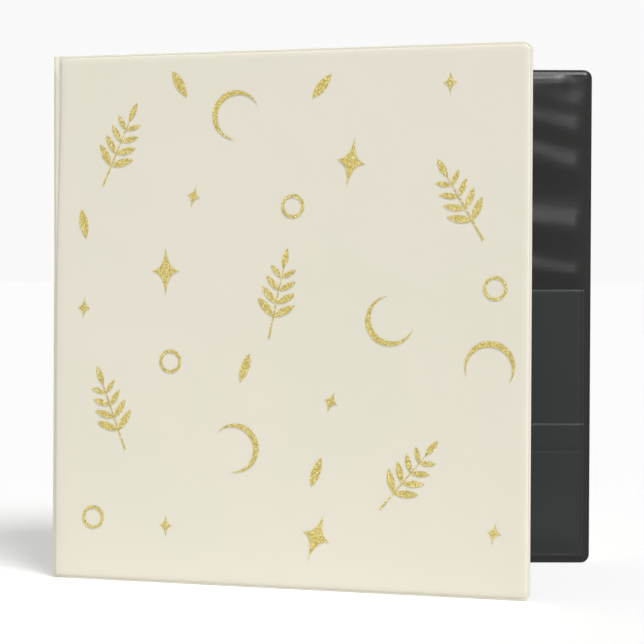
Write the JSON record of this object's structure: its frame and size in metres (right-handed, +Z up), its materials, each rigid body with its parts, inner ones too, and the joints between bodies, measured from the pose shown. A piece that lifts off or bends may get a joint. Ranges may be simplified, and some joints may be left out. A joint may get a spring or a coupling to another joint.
{
  "type": "ring binder",
  "caption": "Vinyl ring binder with padded board covers, inside pockets and a D-ring mechanism, standing half open on its lower edges.",
  "frame": {"origin": "on the floor under the middle of the standing binder", "axes": "+X along the back cover towards its free edge, +Y away from the printed front cover, +Z up the spine"},
  "size_m": [0.3136, 0.132, 0.295],
  "materials": {
    "cream_vinyl": "satin",
    "black_vinyl": "semi-gloss",
    "pocket_vinyl": "semi-gloss",
    "grey_board": "matte",
    "nickel_plate": "polished",
    "spring_steel": "rolled",
    "gold_foil": "glitter foil"
  },
  "bodies": {
    "back_cover": {"back_skin": "cream_vinyl", "back_board": "grey_board", "back_lining": "black_vinyl", "back_tall_pocket": "pocket_vinyl", "back_short_pocket": "pocket_vinyl", "ring_housing": "nickel_plate", "top_lever_pin": "spring_steel", "bottom_lever_pin": "spring_steel", "top_rivet": "nickel_plate", "bottom_rivet": "nickel_plate"},
    "back_strip": {"back_hinge_strip": "cream_vinyl"},
    "spine": {"spine_skin": "cream_vinyl", "spine_board": "grey_board", "spine_lining": "black_vinyl"},
    "front_strip": {"front_hinge_strip": "cream_vinyl"},
    "front_cover": {"front_skin": "cream_vinyl", "front_board": "grey_board", "front_lining": "black_vinyl", "front_tall_pocket": "pocket_vinyl", "front_short_pocket": "pocket_vinyl", "print_01_sprig": "gold_foil", "print_02_sprig": "gold_foil", "print_03_sprig": "gold_foil", "print_04_sprig": "gold_foil", "print_05_sprig": "gold_foil", "print_06_crescent": "gold_foil", "print_07_crescent": "gold_foil", "print_08_crescent": "gold_foil", "print_09_crescent": "gold_foil", "print_10_star": "gold_foil", "print_11_star": "gold_foil", "print_12_star": "gold_foil", "print_13_smallStar": "gold_foil", "print_14_smallStar": "gold_foil", "print_15_smallStar": "gold_foil", "print_16_smallStar": "gold_foil", "print_17_smallStar": "gold_foil", "print_18_smallStar": "gold_foil", "print_19_ring": "gold_foil", "print_20_ring": "gold_foil", "print_21_ring": "gold_foil", "print_22_ring": "gold_foil", "print_23_leaf": "gold_foil", "print_24_leaf": "gold_foil", "print_25_leaf": "gold_foil", "print_26_leaf": "gold_foil", "print_27_leaf": "gold_foil"},
    "post_blade": {"post_side_blade": "spring_steel", "ring_post_1": "nickel_plate", "ring_post_2": "nickel_plate", "ring_post_3": "nickel_plate"},
    "bow_blade": {"bow_side_blade": "spring_steel", "ring_bow_1": "nickel_plate", "ring_bow_2": "nickel_plate", "ring_bow_3": "nickel_plate"},
    "top_lever": {"top_lever": "nickel_plate"},
    "bottom_lever": {"bottom_lever": "nickel_plate"}
  },
  "joints": [
    {"name": "back_fold", "type": "hinge", "parent": "back_cover", "child": "back_strip", "pos_m": [-0.11524, 0.06413, 0.1475], "axis": [0, 0, 1], "range_deg": [0, 35.4]},
    {"name": "spine_fold", "type": "hinge", "parent": "back_strip", "child": "spine", "pos_m": [-0.12124, 0.06413, 0.1475], "axis": [0, 0, 1], "range_deg": [-54.6, 0]},
    {"name": "front_strip_fold", "type": "hinge", "parent": "spine", "child": "front_strip", "pos_m": [-0.15484, 0.01685, 0.1475], "axis": [0, 0, 1], "range_deg": [-19.2, 0]},
    {"name": "front_cover_fold", "type": "hinge", "parent": "front_strip", "child": "front_cover", "pos_m": [-0.15651, 0.01109, 0.1475], "axis": [0, 0, 1], "range_deg": [-172, 0]},
    {"name": "ring_open", "type": "hinge", "parent": "back_cover", "child": "post_blade", "pos_m": [-0.06909, 0.05998, 0.1475], "axis": [0, 0, 1], "range_deg": [0, 14]},
    {"name": "bow_open", "type": "hinge", "parent": "back_cover", "child": "bow_blade", "pos_m": [-0.09139, 0.05998, 0.1475], "axis": [0, 0, 1], "range_deg": [-14, 0]},
    {"name": "top_lever_swing", "type": "hinge", "parent": "back_cover", "child": "top_lever", "pos_m": [-0.08024, 0.05768, 0.2735], "axis": [1, 0, 0], "range_deg": [-22, 0]},
    {"name": "bottom_lever_swing", "type": "hinge", "parent": "back_cover", "child": "bottom_lever", "pos_m": [-0.08024, 0.05768, 0.0215], "axis": [1, 0, 0], "range_deg": [0, 22]}
  ],
  "couplings": [
    {"joint": "front_strip_fold", "follows": "back_fold", "ratio": -0.54237},
    {"joint": "bow_open", "follows": "ring_open", "ratio": -1},
    {"joint": "top_lever_swing", "follows": "ring_open", "ratio": -1.5714},
    {"joint": "bottom_lever_swing", "follows": "ring_open", "ratio": 1.5714}
  ]
}
